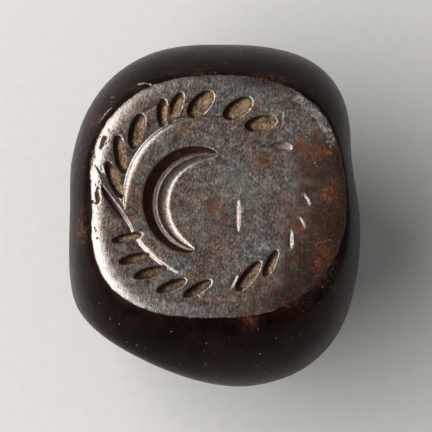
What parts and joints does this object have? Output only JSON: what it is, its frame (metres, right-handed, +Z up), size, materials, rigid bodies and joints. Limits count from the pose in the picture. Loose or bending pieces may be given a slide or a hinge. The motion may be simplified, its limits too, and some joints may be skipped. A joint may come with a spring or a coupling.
{
  "type": "stamp seal",
  "caption": "Squat stone bead pierced from side to side for a string, with one side ground flat and engraved with a crescent in a wreath of slanted leaves.",
  "frame": {"origin": "centre of the small worn flat on the seal's back, which it lies on", "axes": "+Z up, out of the engraved face; +Y towards the top of the design; X along the string hole"},
  "size_m": [0.0148, 0.0176, 0.0134],
  "materials": {
    "stone": "worn polish, dark grey hematite with red-brown patches and buff residue in the cuts"
  },
  "bodies": {
    "root": {"seal_stone": "stone"}
  },
  "joints": []
}
